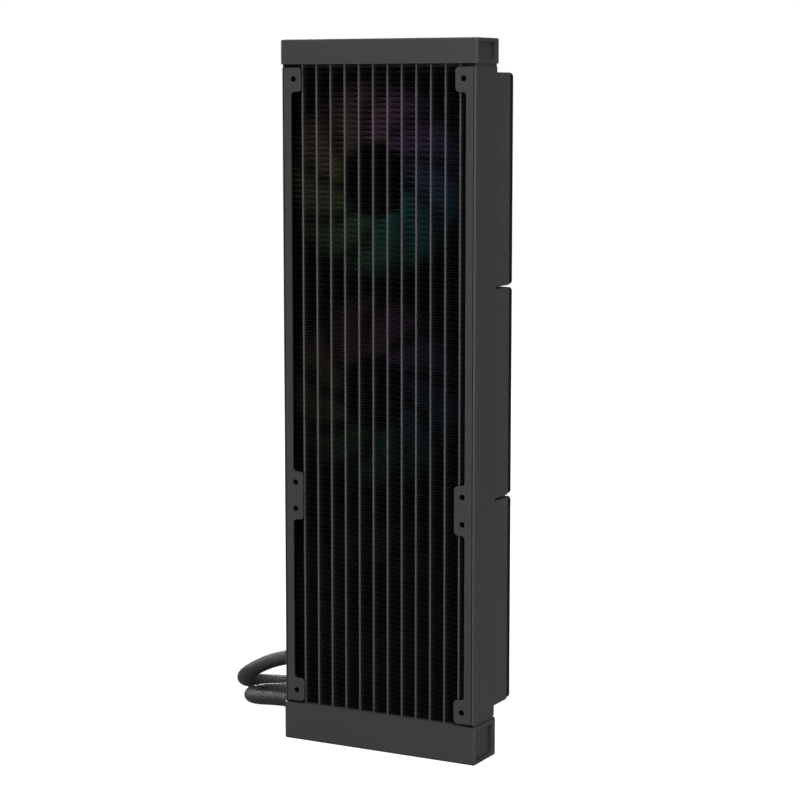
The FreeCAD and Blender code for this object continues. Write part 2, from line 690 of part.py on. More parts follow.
save("hose_collars", group([
    collar(left_hose_start - COLLAR_LONG, ELBOW_Y, PORT_Z),
    collar(right_hose_start - COLLAR_LONG, ELBOW_Y, PORT_Z),
    collar(hose_end, near_end_y, PUMP_PORT_Z),
    collar(hose_end, far_end_y, PUMP_PORT_Z),
]))

# ---------------------------------------------------------------- pump block
# made about its own centre line and moved into place at the end
GROOVE_TALL = 2.0
GROOVE_SIDE = 52.0
CHAMBER_R = 20.0
CHAMBER_TOP = 9.0
WEB_TOP = 10.5
EYE_R = 4.0
VOLUTE_R = 15.0
VOLUTE_TOP = 19.0
DRUM_WELL_R = 7.6
DRUM_WELL_TOP = 24.6
CAN_R = 9.0
CAN_TOP = 26.0
STATOR_WELL_R = 22.0
STATOR_WELL_Z = 20.5
PUMP_SHAFT_R = 1.0
SEAL_IN = 21.5
SEAL_OUT = 23.0
SEAL_TALL = 1.2
PLATE_SCREW_AT = 20.5
PLATE_SCREW_R = 1.4
PLATE_SCREW_HEAD = 1.2
PLATE_SCREW_SINK = 0.6
PLATE_SCREW_LONG = 10.0
PORT_BORE_R = 3.0
PORT_BORE_IN = 9.0
FEED_X = 15.4
FEED_R = 2.0
PLATE_EDGE = 0.5
PLATE_FINS = 16
PLATE_FIN_PITCH = 1.6
PLATE_FIN_THICK = 0.8
PLATE_FIN_LONG = 24.0
PLATE_FIN_TALL = 3.0

# pump rotor: vanes under a disc, and a sleeve above it that carries the magnet
VANES = 6
VANE_IN = 4.2
VANE_OUT = 11.6
VANE_THICK = 0.8
VANE_Z = 11.3
DISC_R = 12.0
DISC_Z = 13.8
DISC_THICK = 1.0
SLEEVE_R = 3.6
SLEEVE_Z = DISC_Z + 0.6
SLEEVE_LONG = 9.4
DRUM_R = 7.0
DRUM_Z = SLEEVE_Z + 1.0
DRUM_LONG = 8.0
PUMP_SHAFT_Z = 12.0
PUMP_SHAFT_END = CAN_TOP - 0.5

# pump stator and board
WINDING_TALL = 5.6
WINDING_LIFT = 0.3
WINDING_POLES = 6
YOKE_THICK = 2.6
PUMP_POLE_WIDE = 3.2
PUMP_COIL_WIDE = 6.4
PUMP_COIL_CORNER = 1.0
PUMP_BOARD_R = 23.6
PUMP_BOARD_THICK = 1.4
PUMP_BOARD_BORE_R = 3.0

# cap of the pump block
COVER_EDGE = 2.5
COVER_HOLLOW_R = 24.5
COVER_HOLLOW = 4.0
COVER_LINE_R = 21.0
COVER_LINE_WIDE = 1.0
COVER_LINE_DEEP = 0.6
COVER_NOTCH_WIDE = 8.0
COVER_NOTCH_TALL = 2.5
COVER_NOTCH_DEEP = 3.0

# stubs that the hoses end on
FITTING_SEAT = 2.4
FITTING_SEAT_PROUD = 1.3
FITTING_IN = 4.5
FITTING_BORE_R = 2.2
FITTING_RIB_BACK = 4.0


def rounded_square(side, corner, z0, z1):
    half = side / 2
    block = box(-half, half, -half, half, z0, z1)
    return round_edges(block, corner, lambda e: runs_along(e, Z))


def place_pump(name, shapes):
    moved = []
    for shape in shapes:
        copy = shape.copy()
        copy.translate(Vector(PUMP_X, PUMP_Y, 0))
        moved.append(copy)
    save(name, moved[0] if len(moved) == 1 else group(moved))


def plate_screw_spots():
    return [(x, y) for x in (-PLATE_SCREW_AT, PLATE_SCREW_AT) for y in (-PLATE_SCREW_AT, PLATE_SCREW_AT)]


def pump_housing():
    # the neck under the body is the groove that a mounting bracket slides into
    groove_top = PLATE_THICK + GROOVE_TALL
    body = rounded_square(PUMP_SIDE, PUMP_CORNER, groove_top, HOUSING_TOP)
    body = body.fuse(rounded_square(GROOVE_SIDE, PUMP_CORNER - 4, PLATE_THICK, groove_top))
    hollows = [
        rod(CHAMBER_R, CHAMBER_TOP - PLATE_THICK, 0, 0, PLATE_THICK, Z),
        ring(SEAL_OUT, SEAL_IN, SEAL_TALL, 0, 0, PLATE_THICK, Z),
        rod(EYE_R, WEB_TOP - PLATE_THICK, 0, 0, PLATE_THICK, Z),
        rod(VOLUTE_R, VOLUTE_TOP - WEB_TOP, 0, 0, WEB_TOP, Z),
        rod(DRUM_WELL_R, DRUM_WELL_TOP - WEB_TOP, 0, 0, WEB_TOP, Z),
        rod(PUMP_SHAFT_R, PUMP_SHAFT_END - WEB_TOP, 0, 0, WEB_TOP, Z),
        ring(STATOR_WELL_R, CAN_R, HOUSING_TOP - STATOR_WELL_Z, 0, 0, STATOR_WELL_Z, Z),
        rod(STATOR_WELL_R, HOUSING_TOP - CAN_TOP, 0, 0, CAN_TOP, Z),
        rod(PORT_BORE_R, PUMP_SIDE / 2 - PORT_BORE_IN, PORT_BORE_IN, -PUMP_PORT_Y, PUMP_PORT_Z, X),
        rod(PORT_BORE_R, PUMP_SIDE / 2 - PORT_BORE_IN * 1.5, PORT_BORE_IN * 1.5, PUMP_PORT_Y, PUMP_PORT_Z, X),
        rod(FEED_R, PUMP_PORT_Z - PLATE_THICK, FEED_X, PUMP_PORT_Y, PLATE_THICK, Z),
    ]
    for x, y in plate_screw_spots():
        hollows.append(rod(PLATE_SCREW_R, PLATE_SCREW_LONG - 1.5, x, y, PLATE_THICK, Z))
    for hollow in hollows:
        body = body.cut(hollow)
    return body


def cold_plate():
    # copper base with a block of fine fins standing in the water chamber
    plate = rounded_square(PLATE_SIDE, PUMP_CORNER - 2, 0, PLATE_THICK)
    plate = round_edges(plate, PLATE_EDGE, lambda e: abs(e.CenterOfMass.z) < TINY)
    for x, y in plate_screw_spots():
        plate = plate.cut(rod(PLATE_SCREW_R + 2 * SLIP, PLATE_THICK, x, y, 0, Z))
        plate = plate.cut(rod(PLATE_SCREW_R * 2, PLATE_SCREW_SINK + PLATE_SCREW_HEAD, x, y, 0, Z))
    half = PLATE_FIN_LONG / 2
    fins = []
    for i in range(PLATE_FINS):
        x = -half + PLATE_FIN_PITCH * i
        fins.append(box(x, x + PLATE_FIN_THICK, -half, half, PLATE_THICK, PLATE_THICK + PLATE_FIN_TALL))
    return plate.fuse(fins)


def plate_screw(x, y):
    shank_z = PLATE_SCREW_SINK + PLATE_SCREW_HEAD
    head = rod(PLATE_SCREW_R * 2 - 2 * SLIP, PLATE_SCREW_HEAD, x, y, PLATE_SCREW_SINK, Z)
    shank = rod(PLATE_SCREW_R, PLATE_SCREW_LONG, x, y, shank_z, Z)
    recess = rod(1.0, 0.8, x, y, PLATE_SCREW_SINK, Z)
    return head.fuse(shank).cut(recess)


def pump_impeller():
    bore_r = PUMP_SHAFT_R + SHAFT_CLEAR
    disc = rod(DISC_R, DISC_THICK, 0, 0, DISC_Z, Z)
    vanes = []
    for i in range(VANES):
        vane = box(VANE_IN, VANE_OUT, -VANE_THICK / 2, VANE_THICK / 2, VANE_Z, DISC_Z + DISC_THICK / 5)
        vane.rotate(Vector(0, 0, 0), Z, 360 * i / VANES)
        vanes.append(vane)
    sleeve = ring(SLEEVE_R, bore_r, SLEEVE_LONG, 0, 0, SLEEVE_Z, Z)
    return disc.fuse(vanes + [sleeve]).cut(rod(bore_r, SLEEVE_Z, 0, 0, VANE_Z, Z))


def pump_stator():
    z0 = STATOR_WELL_Z + WINDING_LIFT
    z1 = z0 + WINDING_TALL
    yoke_r = STATOR_WELL_R - 0.4
    yoke_in = yoke_r - YOKE_THICK
    yoke = ring(yoke_r, yoke_in, WINDING_TALL, 0, 0, z0, Z)
    poles = []
    for i in range(WINDING_POLES):
        pole = box(CAN_R + 0.6, yoke_in + 0.5, -PUMP_POLE_WIDE / 2, PUMP_POLE_WIDE / 2, z0 + 1, z1 - 1)
        coil = box(CAN_R + 2.4, yoke_in - 1.2, -PUMP_COIL_WIDE / 2, PUMP_COIL_WIDE / 2, z0, z1)
        pole = pole.fuse(round_edges(coil, PUMP_COIL_CORNER, lambda e: runs_along(e, X)))
        pole.rotate(Vector(0, 0, 0), Z, 360 * i / WINDING_POLES)
        poles.append(pole)
    return yoke.fuse(poles)


def pump_cap():
    cap = rounded_square(PUMP_SIDE, PUMP_CORNER, HOUSING_TOP, CAP_TOP)
    cap = round_edges(cap, COVER_EDGE, lambda e: e.CenterOfMass.z > CAP_TOP - 0.1)
    cap = cap.cut(rod(COVER_HOLLOW_R, COVER_HOLLOW, 0, 0, HOUSING_TOP, Z))
    # shallow groove round the top face and a cable notch in the back edge
    groove_z = CAP_TOP - COVER_LINE_DEEP
    cap = cap.cut(ring(COVER_LINE_R, COVER_LINE_R - COVER_LINE_WIDE, 1.0, 0, 0, groove_z, Z))
    notch_y = PUMP_SIDE / 2 - COVER_NOTCH_DEEP
    notch = box(-COVER_NOTCH_WIDE / 2, COVER_NOTCH_WIDE / 2, notch_y, PUMP_SIDE / 2 + 1,
                HOUSING_TOP, HOUSING_TOP + COVER_NOTCH_TALL)
    return cap.cut(notch)


def pump_fitting(y):
    x0 = PUMP_SIDE / 2
    x1 = x0 + PUMP_PORT_LONG
    body = rod(ELBOW_R, PUMP_PORT_LONG, x0, y, PUMP_PORT_Z, X)
    seat = rod(ELBOW_R + FITTING_SEAT_PROUD, FITTING_SEAT, x0, y, PUMP_PORT_Z, X)
    stub = rod(PORT_BORE_R - SLIP, FITTING_IN + 0.5, x0 - FITTING_IN, y, PUMP_PORT_Z, X)
    rib = rod(ELBOW_R + RIB_TALL, RIB_LONG, x1 - FITTING_RIB_BACK, y, PUMP_PORT_Z, X)
    bore = rod(FITTING_BORE_R, x1 - x0 + FITTING_IN + 1, x0 - FITTING_IN - 0.5, y, PUMP_PORT_Z, X)
    return body.fuse([seat, stub, rib]).cut(bore).removeSplitter()


place_pump("cold_plate", [cold_plate()])
place_pump("cold_plate_screws", [plate_screw(x, y) for x, y in plate_screw_spots()])
place_pump("pump_housing", [pump_housing()])
place_pump("pump_gasket", [ring(SEAL_OUT, SEAL_IN, SEAL_TALL, 0, 0, PLATE_THICK, Z)])
place_pump("pump_impeller", [pump_impeller()])
place_pump("pump_magnet", [ring(DRUM_R, SLEEVE_R, DRUM_LONG, 0, 0, DRUM_Z, Z)])
place_pump("pump_shaft", [rod(PUMP_SHAFT_R, PUMP_SHAFT_END - PUMP_SHAFT_Z, 0, 0, PUMP_SHAFT_Z, Z)])
place_pump("pump_stator", [pump_stator()])
place_pump("pump_board", [ring(PUMP_BOARD_R, PUMP_BOARD_BORE_R, PUMP_BOARD_THICK, 0, 0, HOUSING_TOP, Z)])
place_pump("pump_cap", [pump_cap()])
place_pump("pump_fittings", [pump_fitting(y) for y in (-PUMP_PORT_Y, PUMP_PORT_Y)])
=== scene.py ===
import json
import math
import random

import bpy
import numpy as np
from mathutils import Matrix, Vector


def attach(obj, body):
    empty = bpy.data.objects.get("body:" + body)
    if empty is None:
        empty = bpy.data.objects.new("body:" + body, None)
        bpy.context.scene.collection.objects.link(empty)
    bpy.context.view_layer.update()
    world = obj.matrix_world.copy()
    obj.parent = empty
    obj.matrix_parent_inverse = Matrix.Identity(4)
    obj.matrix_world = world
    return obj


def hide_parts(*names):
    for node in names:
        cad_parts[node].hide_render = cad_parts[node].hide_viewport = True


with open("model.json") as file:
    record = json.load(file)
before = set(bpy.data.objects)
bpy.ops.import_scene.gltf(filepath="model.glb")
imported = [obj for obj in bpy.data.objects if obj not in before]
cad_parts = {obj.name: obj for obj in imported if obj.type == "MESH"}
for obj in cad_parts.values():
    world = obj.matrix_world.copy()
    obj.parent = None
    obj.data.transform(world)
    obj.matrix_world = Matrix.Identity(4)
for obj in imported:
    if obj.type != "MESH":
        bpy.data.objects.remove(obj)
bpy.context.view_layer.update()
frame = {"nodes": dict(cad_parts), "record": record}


MM = 0.001
ROOT = "radiator"
FANS = (1, 2, 3)

# ---------------------------------------------------------------- dimensions repeated from the model, in mm
DEPTH = 26.5
CORE_HALF = 59.9
SHEET = 1.0
CORE_BOTTOM = 21.5
CORE_TOP = 381.5
TUBES = 12
TUBE_PITCH = 8.88
TUBE_THICK = 1.25
FIN_PITCH = 1.5
FIN_DEPTH = 19.2
FAN_PITCH = 117.3
FAN_STACK_Z = 202.1
FAN_FACE = DEPTH / 2

HUB_R = 20.0
HUB_WALL = 1.5
HUB_Y0 = 5.0
HUB_Y1 = 18.4
HUB_TOP = 1.6
BLADES = 9
BLADE_ROOT_R = 19.0
BLADE_TIP_R = 54.6
BLADE_THICK = 1.8
BLADE_Y0 = 5.6
BLADE_Y1 = 18.4
BLADE_BULGE = 1.2
BLADE_CUTS = [(0.0, 0.0, -5.0, 5.0), (0.6, 0.8, -12.0, 11.0), (2.4, 2.4, -22.0, 13.0)]
BLADE_CUT_R = [14.0, 35.3, 56.6]

HOSE_R = 4.4
ELBOW_Y = DEPTH + 7.0
PORT_Z = 10.6
ON_FLOOR = HOSE_R + 0.35
LEFT_START = -43.0
RIGHT_START = 14.0
HOSE_END = -80.0
NEAR_END_Y = 174.0
FAR_END_Y = 196.0
PUMP_PORT_Z = 13.0
TURN_X = -54.0
LAST_RUN = 15.0
LOWER_FLOOR_Y = 77.8
UPPER_FLOOR_Y = 95.5

# ---------------------------------------------------------------- camera
CAMERA_AT = (602.79, -1093.22 - DEPTH / 2, 365.28)
CAMERA_YAW = 28.2924
CAMERA_DOWN = 7.5857
CAMERA_LENS = 103.08


def add_camera():
    data = bpy.data.cameras.new("camera")
    data.lens = CAMERA_LENS
    data.sensor_width = 36.0
    data.clip_start = 0.05
    data.clip_end = 20.0
    camera = bpy.data.objects.new("camera", data)
    camera.location = Vector(CAMERA_AT) * MM
    camera.rotation_euler = (math.radians(90 - CAMERA_DOWN), 0, math.radians(CAMERA_YAW))
    bpy.context.collection.objects.link(camera)
    bpy.context.scene.camera = camera


# ---------------------------------------------------------------- materials
class Shader:
    """Builds one procedural material round a Principled shader."""

    def __init__(self, name, color, roughness, metallic=0.0, specular=0.5):
        self.material = bpy.data.materials.new(name)
        self.material.use_nodes = True
        self.nodes = self.material.node_tree.nodes
        self.links = self.material.node_tree.links
        self.main = self.nodes["Principled BSDF"]
        self.color = color
        self.main.inputs["Base Color"].default_value = (*color, 1)
        self.main.inputs["Roughness"].default_value = roughness
        self.main.inputs["Metallic"].default_value = metallic
        self.main.inputs["Specular IOR Level"].default_value = specular
        self.height = None

    def node(self, kind, **values):
        made = self.nodes.new(kind)
        for key, value in values.items():
            setattr(made, key, value)
        return made

    def coordinates(self, output="Object"):
        return self.node("ShaderNodeTexCoord").outputs[output]

    def noise(self, scale, detail=3.0, where=None, rough=0.55):
        made = self.node("ShaderNodeTexNoise")
        made.inputs["Scale"].default_value = scale
        made.inputs["Detail"].default_value = detail
        made.inputs["Roughness"].default_value = rough
        self.links.new(where or self.coordinates(), made.inputs["Vector"])
        return made.outputs["Fac"]

    def between(self, source, low, high):
        made = self.node("ShaderNodeMapRange")
        made.inputs["To Min"].default_value = low
        made.inputs["To Max"].default_value = high
        self.links.new(source, made.inputs["Value"])
        return made.outputs["Result"]

    def tint(self, source, darker, lighter):
        made = self.node("ShaderNodeMix", data_type="RGBA")
        made.inputs["A"].default_value = (*[c * darker for c in self.color], 1)
        made.inputs["B"].default_value = (*[c * lighter for c in self.color], 1)
        self.links.new(source, made.inputs["Factor"])
        self.links.new(made.outputs["Result"], self.main.inputs["Base Color"])

    def maths(self, operation, *values):
        made = self.node("ShaderNodeMath", operation=operation)
        for socket, value in zip(made.inputs, values):
            if isinstance(value, (int, float)):
                socket.default_value = value
            else:
                self.links.new(value, socket)
        return made.outputs["Value"]

    def ramp(self, source, stops, interpolation="LINEAR"):
        made = self.node("ShaderNodeValToRGB")
        made.color_ramp.interpolation = interpolation
        elements = made.color_ramp.elements
        while len(elements) < len(stops):
            elements.new(0.5)
        for element, (place, color) in zip(elements, stops):
            element.position = place
            element.color = (*color, 1)
        self.links.new(source, made.inputs["Fac"])
        return made.outputs["Color"]

    def paint_edge_highlight(self, reach_mm, lighter):
        """Paints a highlight close to every edge: the colour is made a little lighter there."""
        softened = self.node("ShaderNodeBevel", samples=6)
        softened.inputs["Radius"].default_value = reach_mm * MM
        turned_by = self.node("ShaderNodeVectorMath", operation="DOT_PRODUCT")
        self.links.new(softened.outputs["Normal"], turned_by.inputs[0])
        self.links.new(self.node("ShaderNodeNewGeometry").outputs["Normal"], turned_by.inputs[1])
        near_edge = self.node("ShaderNodeMapRange")
        near_edge.inputs["From Min"].default_value = 1.0
        near_edge.inputs["From Max"].default_value = 0.85
        self.links.new(turned_by.outputs["Value"], near_edge.inputs["Value"])
        painted_light = self.node("ShaderNodeMix", data_type="RGBA")
        base = self.main.inputs["Base Color"].links[0].from_socket
        self.links.new(base, painted_light.inputs["A"])
        painted_light.inputs["B"].default_value = (*[c * lighter for c in self.color], 1)
        self.links.new(near_edge.outputs["Result"], painted_light.inputs["Factor"])
        self.links.new(painted_light.outputs["Result"], self.main.inputs["Base Color"])

    def paint_crease_shade(self, reach_mm, darker):
        """Paints shade into creases and joins, where little light gets in: the colour is darkened there."""
        openness = self.node("ShaderNodeAmbientOcclusion", samples=6)
        openness.inputs["Distance"].default_value = reach_mm * MM
        shaded = self.node("ShaderNodeMix", data_type="RGBA")
        base = self.main.inputs["Base Color"].links[0].from_socket
        shaded.inputs["A"].default_value = (*[c * darker for c in self.color], 1)
        self.links.new(base, shaded.inputs["B"])
        self.links.new(openness.outputs["AO"], shaded.inputs["Factor"])
        self.links.new(shaded.outputs["Result"], self.main.inputs["Base Color"])

    def rough(self, source, low, high):
        self.links.new(self.between(source, low, high), self.main.inputs["Roughness"])

    def bump(self, source, distance_mm, strength=1.0):
        made = self.node("ShaderNodeBump")
        made.inputs["Strength"].default_value = strength
        made.inputs["Distance"].default_value = distance_mm * MM
        self.links.new(source, made.inputs["Height"])
        if self.height is not None:
            self.links.new(self.height, made.inputs["Normal"])
        self.height = made.outputs["Normal"]
        self.links.new(self.height, self.main.inputs["Normal"])


# Painted highlight along edges (EDGE_REACH, EDGE_LIGHTER) and painted shade in creases and joins
# (CREASE_REACH, CREASE_DARKER).
EDGE_REACH = 0.6
EDGE_LIGHTER = 1.3
CREASE_REACH = 1.2
CREASE_DARKER = 0.1


def grained(name, color, roughness, grain=1800.0, grain_depth=0.02, metallic=0.0, specular=0.5, spread=0.06,
            painted_light=False):
    """A surface with fine grain, faint broad unevenness in colour and a little in its gloss."""
    made = Shader(name, color, roughness, metallic, specular)
    broad = made.noise(25.0, 2.0)
    fine = made.noise(grain, 2.0)
    made.tint(broad, 1 - spread, 1 + spread)
    # painted highlight along the edges and painted shade in creases and joins
    if painted_light:
        made.paint_edge_highlight(EDGE_REACH, EDGE_LIGHTER)
        made.paint_crease_shade(CREASE_REACH, CREASE_DARKER)
    made.rough(fine, roughness - 0.05, roughness + 0.05)
    made.bump(fine, grain_depth)
    return made.material


def make_materials():
    made = {
        # radiator_paint and fan_plastic get a painted highlight along their edges and painted shade in
        # creases and joins.
        "radiator_paint": grained(
            "radiator_paint", (0.030, 0.0301, 0.0303), 0.50, 2200, 0.03, specular=0.38, painted_light=True),
        # core_paint and fin_paint carry the lamps' light painted on as a glow
        "core_paint": core_material("core_paint", (0.034, 0.034, 0.035), 0.42, 0.5),
        "fin_paint": core_material("fin_paint", (0.004, 0.004, 0.004), 0.5, 0.22),
        "trim_plastic": grained("trim_plastic", (0.010, 0.010, 0.010), 0.6, 1600, 0.015, specular=0.03),
        "blade_plastic": blade_material(),
        "black_steel": grained("black_steel", (0.030, 0.030, 0.032), 0.35, 1500, 0.008, metallic=0.6),
        "seal_rubber": grained("seal_rubber", (0.018, 0.018, 0.018), 0.7, 1500, 0.02),
        "fan_plastic": grained(
            "fan_plastic", (0.034, 0.034, 0.0343), 0.55, 1600, 0.02, specular=0.4, painted_light=True),
        "magnet": grained("magnet", (0.06, 0.06, 0.062), 0.55, 900, 0.02),
        "steel": grained("steel", (0.56, 0.57, 0.58), 0.28, 900, 0.004, metallic=1.0),
        "bearing_brass": grained("bearing_brass", (0.55, 0.42, 0.20), 0.4, 900, 0.01, metallic=1.0),
        "winding": grained("winding", (0.50, 0.22, 0.10), 0.38, 700, 0.03, metallic=0.8),
        "board": grained("board", (0.020, 0.065, 0.035), 0.45, 500, 0.01),
        "fitting_paint": grained("fitting_paint", (0.035, 0.035, 0.037), 0.38, 1500, 0.01),
        "copper": grained("copper", (0.72, 0.38, 0.24), 0.30, 600, 0.006, metallic=1.0),
        "pump_plastic": grained("pump_plastic", (0.030, 0.030, 0.033), 0.42, 1700, 0.02),
        "rotor_plastic": grained("rotor_plastic", (0.55, 0.55, 0.52), 0.5, 900, 0.01),
    }
    made["braid"] = braid_material()
    return made


# colour of the lamps by angle round the axle, as a share of a turn from -X by way of -Z
GLOW_COLOURS = [
    (0.00, (0.60, 0.60, 0.30)),
    (0.10, (0.40, 0.60, 0.28)),
    (0.22, (0.22, 0.62, 0.30)),
    (0.32, (0.13, 0.70, 0.56)),
    (0.42, (0.15, 0.60, 0.78)),
    (0.52, (0.25, 0.31, 0.74)),
    (0.62, (0.66, 0.38, 1.00)),
    (0.72, (1.00, 0.48, 0.85)),
    (0.82, (0.92, 0.52, 0.50)),
    (0.92, (0.84, 0.56, 0.38)),
    (1.00, (0.60, 0.60, 0.30)),
]
GLOW_BY_HEIGHT = [(0.0, 0.04), (0.30, 0.05), (0.36, 0.26), (0.63, 0.30), (0.69, 1.0), (1.0, 1.0)]
GLOW_INNER_R = 21.0
GLOW_OUTER_R = 55.5
GLOW_SPAN = 60
BLADE_SWEEP = 0.14
BLADE_GLOW = 0.5
# strength and sideways centre of the lamps' light painted on the core as a glow; WALL_GLOW is its share on
# faces that point sideways
CORE_GLOW = 0.041
CORE_GLOW_X = -6.0
WALL_GLOW = 0.45


def lamp_glow(made, strength, middle_x=0.0):
    """Light of the fans' lamps: the colour turns round each fan's axle, and the top fan is brightest."""
    parts = made.node("ShaderNodeSeparateXYZ")
    made.links.new(made.coordinates(), parts.inputs["Vector"])
    bottom = (FAN_STACK_Z - 1.5 * FAN_PITCH) * MM
    above = made.maths("SUBTRACT", parts.outputs["Z"], bottom)
    in_fan = made.maths("MODULO", above, FAN_PITCH * MM)
    up = made.maths("SUBTRACT", in_fan, FAN_PITCH / 2 * MM)
    flat = made.node("ShaderNodeCombineXYZ")
    made.links.new(made.maths("SUBTRACT", parts.outputs["X"], middle_x * MM), flat.inputs["X"])
    made.links.new(up, flat.inputs["Y"])
    around = made.node("ShaderNodeTexGradient", gradient_type="RADIAL")
    made.links.new(flat.outputs["Vector"], around.inputs["Vector"])
    made.links.new(made.ramp(around.outputs["Fac"], GLOW_COLOURS), made.main.inputs["Emission Color"])
    distance = made.node("ShaderNodeVectorMath", operation="LENGTH")
    made.links.new(flat.outputs["Vector"], distance.inputs[0])
    share = made.maths("DIVIDE", distance.outputs["Value"], GLOW_SPAN * MM)
    annulus = made.ramp(share, [
        (0.0, (0, 0, 0)),
        ((GLOW_INNER_R - 2) / GLOW_SPAN, (0, 0, 0)),
        ((GLOW_INNER_R + 2) / GLOW_SPAN, (1, 1, 1)),
        (0.75, (0.7, 0.7, 0.7)),
        (GLOW_OUTER_R / GLOW_SPAN, (0, 0, 0)),
        (1.0, (0, 0, 0)),
    ])
    height = made.maths("DIVIDE", above, 3 * FAN_PITCH * MM)
    by_fan = made.ramp(height, [(place, (level,) * 3) for place, level in GLOW_BY_HEIGHT])
    level = made.maths("MULTIPLY", made.maths("MULTIPLY", annulus, by_fan), strength)
    sweep = made.maths("MULTIPLY", distance.outputs["Value"], BLADE_SWEEP / MM)
    turn = made.maths("MULTIPLY", around.outputs["Fac"], 2 * math.pi * BLADES)
    swirl = made.maths("SINE", made.maths("ADD", turn, sweep))
    return level, swirl, parts


def blade_material():
    """Frosted smoke-tinted plastic that carries the coloured light of the lamps round the hub."""
    made = Shader("blade_plastic", (0.16, 0.16, 0.17), 0.4)
    level = lamp_glow(made, BLADE_GLOW)[0]
    made.links.new(level, made.main.inputs["Emission Strength"])
    made.bump(made.noise(900.0, 2.0), 0.01)
    return made.material


def core_material(name, color, roughness, specular):
    """Thin black paint on the core, with the lamps' light painted on as a glow. Surfaces that face up or
    sideways catch more of it, the back of the core less, and the blades' shadows are painted in as darker
    swirls.
    """
    made = Shader(name, color, roughness, specular=specular)
    made.tint(made.noise(40.0, 2.0), 0.85, 1.15)
    level, swirl, parts = lamp_glow(made, CORE_GLOW, CORE_GLOW_X)
    # the painted glow is strongest at the front of the core and fades towards its back
    depth = made.node("ShaderNodeMapRange")
    depth.inputs["From Min"].default_value = -FIN_DEPTH / 2 * MM
    depth.inputs["From Max"].default_value = FIN_DEPTH / 2 * MM
    depth.inputs["To Min"].default_value = 1.0
    depth.inputs["To Max"].default_value = 0.1
    made.links.new(parts.outputs["Y"], depth.inputs["Value"])
    # painted shadow of the blades: darker swirls across the glow
    painted_blade_shadow = made.node("ShaderNodeMapRange")
    painted_blade_shadow.inputs["From Min"].default_value = -1.0
    painted_blade_shadow.inputs["From Max"].default_value = 0.2
    painted_blade_shadow.inputs["To Min"].default_value = 0.2
    made.links.new(swirl, painted_blade_shadow.inputs["Value"])
    # painted light: faces that point up glow most, faces that point sideways less
    facing = made.node("ShaderNodeSeparateXYZ")
    made.links.new(made.node("ShaderNodeNewGeometry").outputs["Normal"], facing.inputs["Vector"])
    upward = made.maths("MAXIMUM", facing.outputs["Z"], 0.0)
    sideways = made.maths("MULTIPLY", made.maths("ABSOLUTE", facing.outputs["X"]), WALL_GLOW)
    painted_facing_light = made.maths("ADD", upward, sideways)
    for share in (depth.outputs["Result"], painted_blade_shadow.outputs["Result"], painted_facing_light):
        level = made.maths("MULTIPLY", level, share)
    made.links.new(level, made.main.inputs["Emission Strength"])
    made.bump(made.noise(1500.0, 2.0), 0.01)
    return made.material


BRAID_CELLS = 24
BRAID_STEP = 1.2
THREADS_PER_STRAND = 3
BRAID_DEPTH = 0.3
BRAID_PROUD = 0.08


def braid_material():
    """Crossing threads of a woven sleeve, laid out by the hose's own UV: once round, and along in mm."""
    made = Shader("braid", (0.009, 0.009, 0.0092), 0.32, specular=0.6)
    parts = made.node("ShaderNodeSeparateXYZ")
    made.links.new(made.coordinates("UV"), parts.inputs["Vector"])
    around = made.maths("MULTIPLY", parts.outputs["X"], BRAID_CELLS)
    along = made.maths("MULTIPLY", parts.outputs["Y"], 1 / BRAID_STEP)
    threads = []
    cells = []
    for combine in ("ADD", "SUBTRACT"):
        slant = made.maths("MULTIPLY", made.maths(combine, around, along), math.pi)
        strand_turn = made.maths("MULTIPLY", slant, 0.5)
        thread_turn = made.maths("MULTIPLY", slant, THREADS_PER_STRAND)
        cells.append(made.maths("ABSOLUTE", made.maths("SINE", strand_turn)))
        threads.append(made.maths("ABSOLUTE", made.maths("SINE", thread_turn)))
    crown = made.maths("MULTIPLY", cells[0], cells[1])
    # painted shade and highlight: the colour is darker in the hollows between the crossing strands and
    # lighter on their crowns
    made.tint(crown, 0.1, 2.2)
    made.bump(made.maths("MAXIMUM", threads[0], threads[1]), 0.05)
    made.rough(crown, 0.52, 0.2)
    return made.material


# ---------------------------------------------------------------- mesh helpers
def add_mesh(name, verts, faces, material, body, smooth=False, uvs=None, at=(0, 0, 0)):
    """verts in mm in the row frame less `at`; the object's own origin is put at `at`."""
    mesh = bpy.data.meshes.new(name)
    mesh.from_pydata([(x * MM, y * MM, z * MM) for x, y, z in verts], [], faces)
    mesh.polygons.foreach_set("use_smooth", [smooth] * len(mesh.polygons))
    if uvs is not None:
        layer = mesh.uv_layers.new(name="UVMap")
        layer.data.foreach_set("uv", [value for pair in uvs for value in pair])
    mesh.update()
    mesh.materials.append(material)
    made = bpy.data.objects.new(name, mesh)
    made.location = Vector(at) * MM
    bpy.context.collection.objects.link(made)
    bpy.context.view_layer.update()
    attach(made, body)
    return made


def dress(node, material, bevel=0.0, segments=2):
    """Gives a carried-over CAD node its material and softly broken edges."""
    piece = frame["nodes"][node]
    piece.data.materials.clear()
    piece.data.materials.append(material)
    if bevel:
        soft = piece.modifiers.new("soft_edges", "BEVEL")
        soft.width = bevel * MM
        soft.segments = segments
        soft.limit_method = "ANGLE"
        soft.angle_limit = math.radians(40)
        soft.harden_normals = True
    return piece


# ---------------------------------------------------------------- hoses
def half_turn(radius, centre_y, count, z_start, z_stop):
    step = 180 / count
    reach = radius / math.cos(math.radians(step / 2))
    points = []
    for i in range(count):
        angle = math.radians(-90 + step * (i + 0.5))
        level = z_start + (z_stop - z_start) * (i / (count - 1)) ** 2
        points.append((TURN_X + reach * math.cos(angle), centre_y + reach * math.sin(angle), level))
    return points


